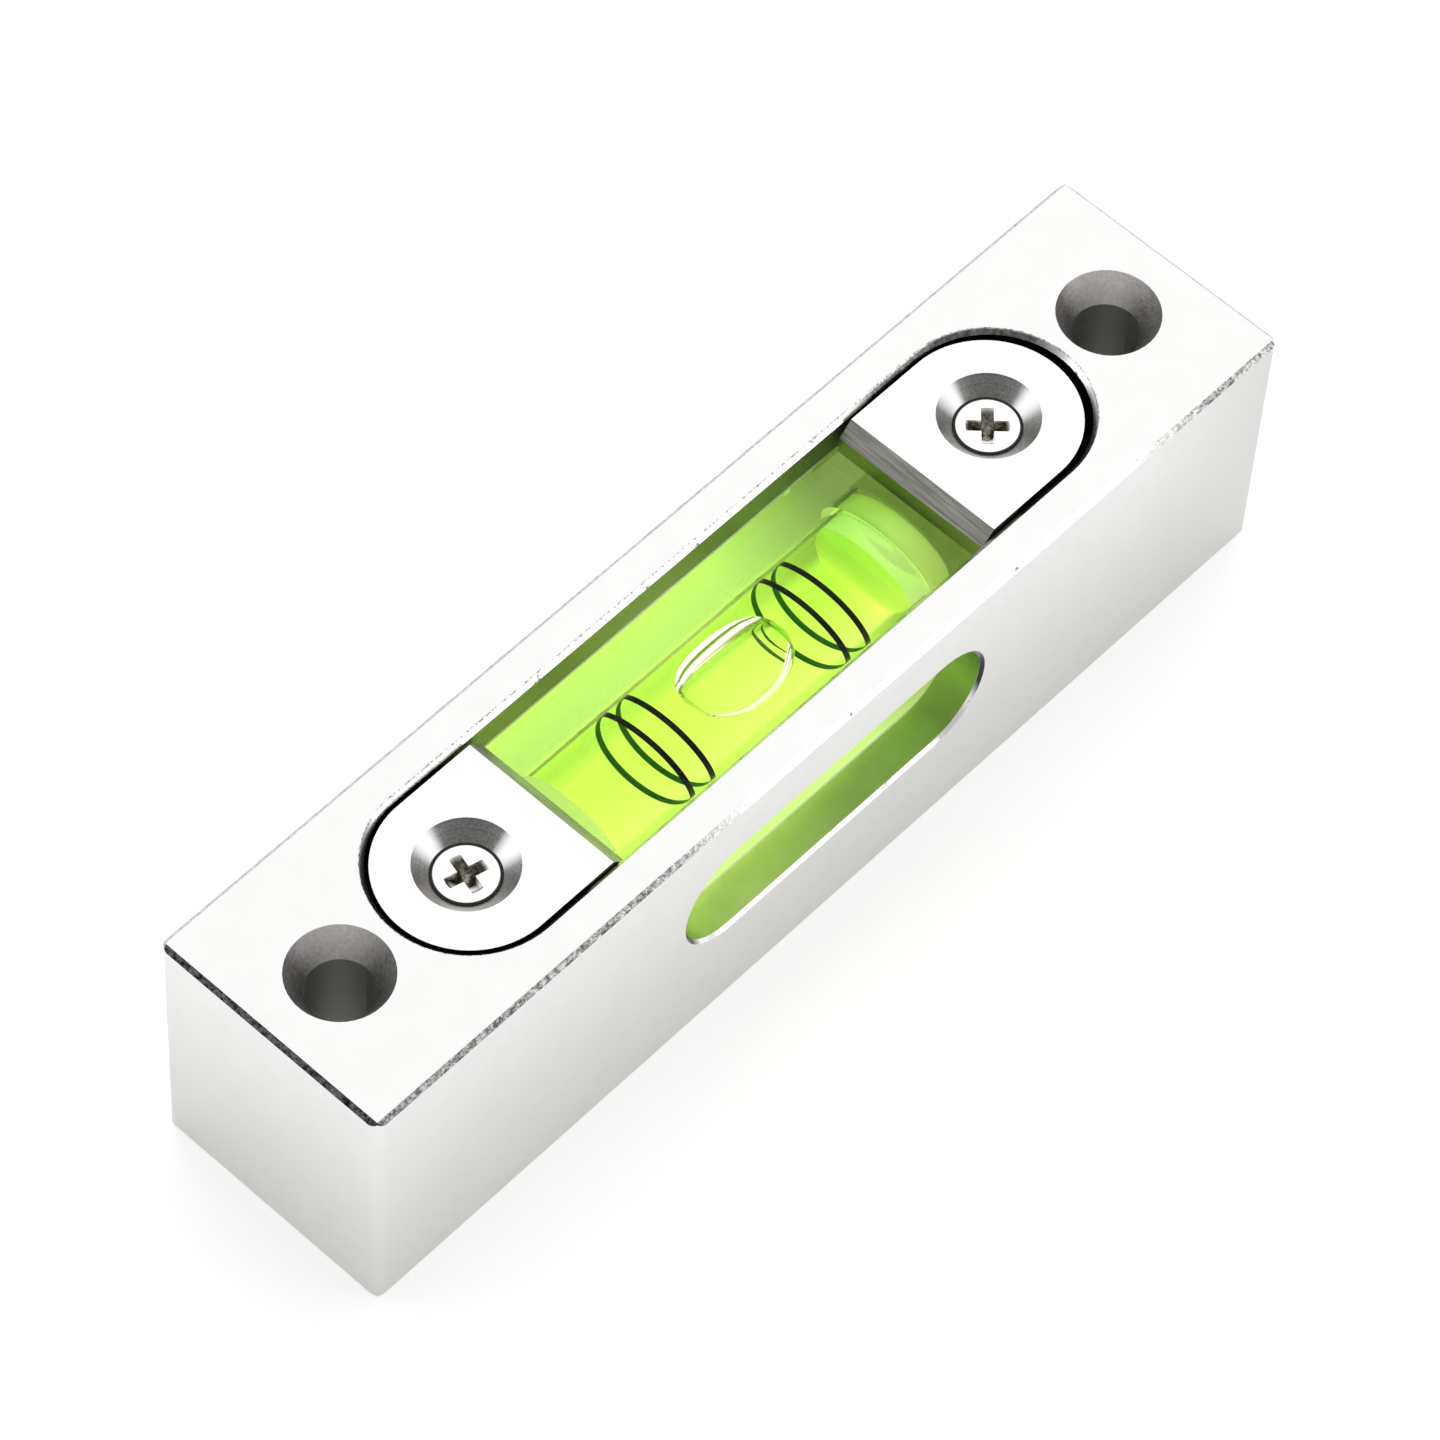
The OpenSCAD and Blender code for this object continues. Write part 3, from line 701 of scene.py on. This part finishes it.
# %% Block
def rounded_rectangle(low, high, r, steps=8):
    """Four arcs of radius r: each corner's centre plus r (cos a, sin a) over its quarter turn."""
    centres = np.array([[high[0] - r, high[1] - r], [low[0] + r, high[1] - r],
                        [low[0] + r, low[1] + r], [high[0] - r, low[1] + r]])
    angle = np.linspace(0, np.pi / 2, steps + 1) + np.arange(4)[:, None] * np.pi / 2
    return (centres[:, None] + r * np.stack([np.cos(angle), np.sin(angle)], axis=-1)).reshape(-1, 2)


def block_shell(name, low, high, r):
    """The outline at z low and z high, with each end drawn in to the block's centre line."""
    outline = rounded_rectangle(low, high, r)
    centre_line = rounded_rectangle(low + 3, high - 3, 0.01)
    centre_line[:, 1] = (low[1] + high[1]) / 2
    levels = ((centre_line, low[2]), (outline, low[2]), (outline, high[2]), (centre_line, high[2]))
    points = np.stack([np.column_stack([plan, np.full(len(plan), z)]) for plan, z in levels])
    return grid_mesh(name, points, round_columns=True, smooth=False)


block = block_shell("vial_block_clear", block_low + SKIN, block_high - SKIN, 1.2)
bore_start, head_end = liquid_low[0] - SKIN, stopper_high[0] + SKIN
counterbore_r = (seal_high[2] - seal_low[2]) / 2 + SKIN
bore_x = [bore_start, bore_start, shoulder, shoulder, head_end, head_end]
drill_r = [0.0, bore_r, bore_r, counterbore_r, counterbore_r, 0.0]
bore_wall = revolve("bore_wall", bore_x, drill_r, axis_z, 384, True)
print("bore from x %.2f to %.2f" % (bore_start, head_end))

# %% [markdown]
# A face's slot in the mesh says which material it has: polished acrylic outside, frosted below, and wet
# with liquid in the bore. The numbers are set while the two walls are joined, since their order is known.

# %% Walls of the block
both_walls = bmesh.new()
both_walls.from_mesh(block.data)
outer_faces = len(both_walls.faces)
both_walls.from_mesh(bore_wall.data)
both_walls.faces.ensure_lookup_table()
for number, face in enumerate(both_walls.faces):
    face.material_index = 2 if number >= outer_faces else int(face.normal.z < -0.9)
both_walls.to_mesh(block.data)
both_walls.free()
block.data.set_sharp_from_angle(angle=SHARP)
bpy.data.objects.remove(bore_wall)
dress(block, acrylic, frosted, wet_bore)
print("block", len(block.data.polygons), "faces")

# %% [markdown]
# The liquid is a light spirit with a fluorescent yellow-green dye. Such a dye takes in blue light and
# gives it back as green, so the liquid is brighter than what lies behind it. A glowing volume would do
# that too, at a high price. The lower half of the liquid's skin is drawn as that glow, and the upper
# half stays clear so that the rings and the bubble can be seen.

# %% Liquid
liquid_r = bore_r - SKIN / 2
liquid_x = [bore_start + SKIN, bore_start + SKIN, stopper_low[0] - SKIN, stopper_low[0] - SKIN]
liquid = revolve("vial_liquid_dyed", liquid_x, [0.0, liquid_r, liquid_r, 0.0], axis_z)
dyed, tree = start_material("fluorescent_dyed_spirit")
point, axes = object_point(tree)
deep = add(tree, "ShaderNodeMapRange", {"Value": axes["Z"], "From Min": axis_z - 2.0,
           "From Max": axis_z - 4.0, "To Min": 0.0, "To Max": 0.9},
           interpolation_type="SMOOTHSTEP").outputs[0]
# Painted light: the liquid is lighter and yellower on its near side.
hue_and_painted_light = layered(tree, "#ECFF98", (where(tree, (axes["X"], 11.0, EVER, 4.0)), "#CCF478"),
              (where(tree, (axes["Y"], -EVER, -1.0, 3.0)), "#FCFFBC"))
glow = add(tree, "ShaderNodeBsdfPrincipled", {"Base Color": hue_and_painted_light, "Roughness": 0.9, "Specular IOR Level": 0.0,
           "Emission Color": hue_and_painted_light, "Emission Strength": 0.5})
clear = add(tree, "ShaderNodeBsdfTransparent", {"Color": "#FAFFDC"})
spirit = add(tree, "ShaderNodeMixShader", {0: deep, 1: clear.outputs[0], 2: glow.outputs[0]})
absorb = add(tree, "ShaderNodeVolumeAbsorption", {"Color": "#F8FF80", "Density": 15.0})
add(tree, "ShaderNodeOutputMaterial", {"Surface": spirit.outputs[0], "Volume": absorb.outputs[0]})
dress(liquid, dyed)
print("liquid to x %.2f" % liquid_x[-1])

# %% [markdown]
# The bubble is air under the wall of the bore. Its roof follows the bore, its underside is almost flat,
# and its sides are drawn in by the liquid's skin. A squashed sphere would be quicker, and would look
# like a bead. Here the plan and the section are two curves with soft corners, carried along each other.

# %% Bubble
PLAN_POWER = 2.3


def bubble_surface(name, low, high, wall_r):
    """Plan: half width w s(u), with s = (1 - |u|^p)^(1/p) and p = PLAN_POWER. Section: between the
    bore's arc and the flat underside, rounded as a superellipse in v, and drawn in by 1 - s."""
    u = -np.cos(np.linspace(0, np.pi, 97))[:, None]
    v = np.linspace(0, 2 * np.pi, 128, endpoint=False)[None, :]
    half_l, half_w = (high[0] - low[0]) / 2, (high[1] - low[1]) / 2
    s = np.clip(1 - np.abs(u) ** PLAN_POWER, 0, 1) ** (1 / PLAN_POWER)
    y = half_w * s * np.sign(np.cos(v)) * np.abs(np.cos(v)) ** 0.8
    top = high[2] + np.sqrt(wall_r ** 2 - y ** 2) - wall_r - 0.7 * (1 - s)
    bottom = low[2] + 1.2 * (1 - s) + 0 * y
    middle, half_h = (top + bottom) / 2, (top - bottom) / 2 * np.clip(s * 1.6, 0, 1)
    z = middle + half_h * np.sign(np.sin(v)) * np.abs(np.sin(v)) ** 0.75
    x = (low[0] + high[0]) / 2 + half_l * u + 0 * v
    return grid_mesh(name, np.stack([x, y, z], axis=-1), round_columns=True)


bubble = bubble_surface("air_bubble_in_liquid", bubble_low, bubble_high, bore_r - 0.3)
print("bubble", *(np.round(bubble_high - bubble_low, 2)))

# %% [markdown]
# The steep sides of a bubble mirror the white room, which gives it two bright rims, with a thin dark line
# where the mirroring ends. In a studio with lamps on one side only a part of them shows. They are painted
# instead, the rims as a white glow and the line as a darker band, both set by the slope of the skin, so they
# stay with the bubble wherever it slides.

# %% Rims of the bubble
air, tree = start_material("air_in_liquid")
point, axes = object_point(tree)
normal = facing(tree)
bubble_x = float(bubble_low[0] + bubble_high[0]) / 2
off_middle = add(tree, "ShaderNodeMath", {0: axes["X"], 1: bubble_x + 0.3}, operation="SUBTRACT").outputs[0]
squared = add(tree, "ShaderNodeMath", {0: off_middle, 1: off_middle}, operation="MULTIPLY").outputs[0]
bow = add(tree, "ShaderNodeMath", {0: squared, 1: 0.03, 2: normal["Y"]}, operation="MULTIPLY_ADD").outputs[0]
# Painted reflections: the white rims glow by the slope of the skin, and a painted dark line lies between two
# of them.
rims = (where(tree, (normal["Y"], 0.46, 0.585, 0.04)), where(tree, (normal["Y"], 0.66, EVER, 0.01)),
        where(tree, (bow, -EVER, -0.78, 0.04), (normal["Z"], -EVER, 0.1, 0.1),
              (axes["X"], -EVER, float(bubble_high[0]) - 3.0, 0.8)))
painted_dark_line = where(tree, (normal["Y"], 0.595, 0.655, 0.01))
meniscus = add(tree, "ShaderNodeBsdfGlass", {"Color": "#FFFFFF", "Roughness": 0.0, "IOR": 1 / LIQUID})
lens = let_lamps_through(tree, meniscus)
rim_painted_reflection = add(tree, "ShaderNodeEmission", {"Color": "#F6F2FF", "Strength": 1.5})
for mask in rims:
    lens = add(tree, "ShaderNodeMixShader", {0: mask, 1: lens.outputs[0], 2: rim_painted_reflection.outputs[0]})
rim_painted_shade = add(tree, "ShaderNodeBsdfTransparent", {"Color": "#9CA870"})
lens = add(tree, "ShaderNodeMixShader", {0: painted_dark_line, 1: lens.outputs[0], 2: rim_painted_shade.outputs[0]})
add(tree, "ShaderNodeOutputMaterial", {"Surface": lens.outputs[0]})
dress(bubble, air)
print(len(rims), "bright rims around x %.2f" % bubble_x)

# %% [markdown]
# The rings are screen-printed on the bore in black ink. They could be a band of black in the bore's own
# material, but they are separate pieces with a thickness here, as in the CAD. The ink is thin, so from
# inside, through the liquid, its back shows the green light behind it, which is painted as a dark green
# instead of black.

# %% Ink
ink, tree = start_material("black_printed_ink")
point, axes = object_point(tree)
out_z = add(tree, "ShaderNodeMath", {0: axes["Z"], 1: axis_z}, operation="SUBTRACT").outputs[0]
out = add(tree, "ShaderNodeCombineXYZ", {"Y": axes["Y"], "Z": out_z}).outputs[0]
way = add(tree, "ShaderNodeTexCoord").outputs["Normal"]
outward = add(tree, "ShaderNodeVectorMath", {0: out, 1: way}, operation="DOT_PRODUCT").outputs["Value"]
# Painted light: the ink's inner face is a dark green for the liquid's light showing through it.
pigment_and_painted_light = layered(tree, mottled(tree, point, 0.15, "#080C05", "#11170D"),
                  (where(tree, (outward, -EVER, -1.0, 0.5)), "#2A7020"))
coat = add(tree, "ShaderNodeBsdfPrincipled", {"Base Color": pigment_and_painted_light, "Roughness": 0.7,
           "Specular IOR Level": 0.1})
add(tree, "ShaderNodeOutputMaterial", {"Surface": coat.outputs[0]})
print("ink ready")

# %% [markdown]
# A printed line is thickest in its middle and thin at its edges. The section of a ring is therefore a
# low trapezium against the wall of the bore, turned about the axis like the bore itself.

# %% Rings
INK_T = 0.1
outer, inner = bore_r - SKIN, bore_r - INK_T
rings = []
for number, (low, high) in enumerate(ring_boxes, 1):
    middle, half = (low[0] + high[0]) / 2, (high[0] - low[0]) / 2
    profile_x = middle + half * np.array([-1, -1, -0.6, 0.6, 1, 1, -1])
    profile_r = [outer, (outer + inner) / 2, inner, inner, (outer + inner) / 2, outer, outer]
    ring = revolve("graduation_ring_%d" % number, profile_x, profile_r, axis_z)
    dress(ring, ink)
    rings.append(ring)
print(len(rings), "rings of radius %.2f" % outer)

# %% [markdown]
# The stopper is moulded in pale green polyethylene, and is round because it is pressed into a drilled
# bore. Its stem fills the end of the bore and its head, with edges rounded by the mould, sits in the
# counterbore. One outline, turned about the axis, gives both.

# %% Stopper
stopper_r = (stopper_high[2] - stopper_low[2]) / 2
stem_r = bore_r - 0.03
edge = 0.7
quarter = np.linspace(0, np.pi / 2, 10)
rise, turn = edge * np.sin(quarter), edge * np.cos(quarter)
front_round = np.stack([shoulder + edge - turn, stopper_r - edge + rise])
back_round = np.stack([stopper_high[0] - edge + rise, stopper_r - edge + turn])
stem = np.array([[stopper_low[0], stopper_low[0], shoulder], [0.0, stem_r, stem_r]])
profile = np.hstack([stem, front_round, back_round, [[stopper_high[0]], [0.0]]])
stopper = revolve("stopper_moulded", profile[0], profile[1], axis_z)
print("stopper head radius %.2f" % stopper_r)

# %% [markdown]
# Polyethylene is milky: light soaks into it and comes out again all over. Subsurface scattering would be the
# true recipe, and is lost behind two lenses. A matt skin with a weak glow of its own colour looks the same
# there, so that scattered light is painted as a glow, and the near and lower side is painted lighter. The
# stem's upper half lets some of the light from behind come through.

# %% Polyethylene
plug, tree = start_material("moulded_green_polyethylene")
point, axes = object_point(tree)
head = where(tree, (axes["X"], shoulder - 0.05, EVER, 0.04))
stem_glow = add(tree, "ShaderNodeMapRange", {"Value": where(tree, (axes["Z"], -EVER, axis_z + 2.0, 1.0)),
                "To Min": 0.6, "To Max": 1.0}).outputs[0]
solid = add(tree, "ShaderNodeMath", {0: head, 1: stem_glow}, operation="MAXIMUM").outputs[0]
# Painted light: the stopper is lighter on its near side and its lower part.
near_side_painted_light = add(tree, "ShaderNodeMath", {0: where(tree, (axes["Y"], -EVER, -1.5, 3.0)),
                1: where(tree, (axes["Z"], -EVER, axis_z - 1.5, 2.5))}, operation="MAXIMUM").outputs[0]
hue_and_painted_light = layered(tree, mottled(tree, point, 1.2, "#C4EC84", "#B6E478"),
              (head, mottled(tree, point, 1.2, "#ACE058", "#9CD448")),
              (near_side_painted_light, layered(tree, "#ECFFA8", (head, "#CCEE78"))))
milky = add(tree, "ShaderNodeBsdfPrincipled", {"Base Color": hue_and_painted_light, "Roughness": 0.5,
            "Specular IOR Level": 0.2, "Emission Color": hue_and_painted_light, "Emission Strength": 0.38})
clear = add(tree, "ShaderNodeBsdfTransparent", {"Color": "#FCFFF0"})
moulded = add(tree, "ShaderNodeMixShader", {0: solid, 1: clear.outputs[0], 2: milky.outputs[0]})
add(tree, "ShaderNodeOutputMaterial", {"Surface": moulded.outputs[0]})
dress(stopper, plug)
print("stopper dressed")

# %% [markdown]
# Clear casting resin fills the counterbore behind the stopper. It has almost the index of the acrylic,
# so a bending surface between them would show what the eye can't see. It only darkens and yellows what
# lies behind it, unevenly, as it was poured by hand.

# %% Seal
resin, tree = start_material("clear_casting_resin")
point, axes = object_point(tree)
body = add(tree, "ShaderNodeBsdfTransparent", {"Color": mottled(tree, point, 2.0, "#F8F8EE", "#DCE2C8")})
add(tree, "ShaderNodeOutputMaterial", {"Surface": body.outputs[0]})
dress(nodes["resin_seal"], resin)
print("seal from x %.2f to %.2f" % (seal_low[0], seal_high[0]))

# %% [markdown]
# Each drawn piece is now carried by a body, and the solid it is drawn for is hidden. The bubble rides on a
# body of its own, because it slides along the bore.

# %% Finish
pieces = [(block, "clear_acrylic", "vial_block"), (liquid, "yellow_green_liquid", "vial_liquid"),
          (stopper, "green_plastic", "stopper")]
pieces += [(ring, "black_ink", "ring_%d" % number) for number, ring in enumerate(rings, 1)]
for piece, slot_name, node in pieces:
    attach(piece, "bar")
    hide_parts(node)
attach(bubble, "air_bubble")
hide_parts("bubble")
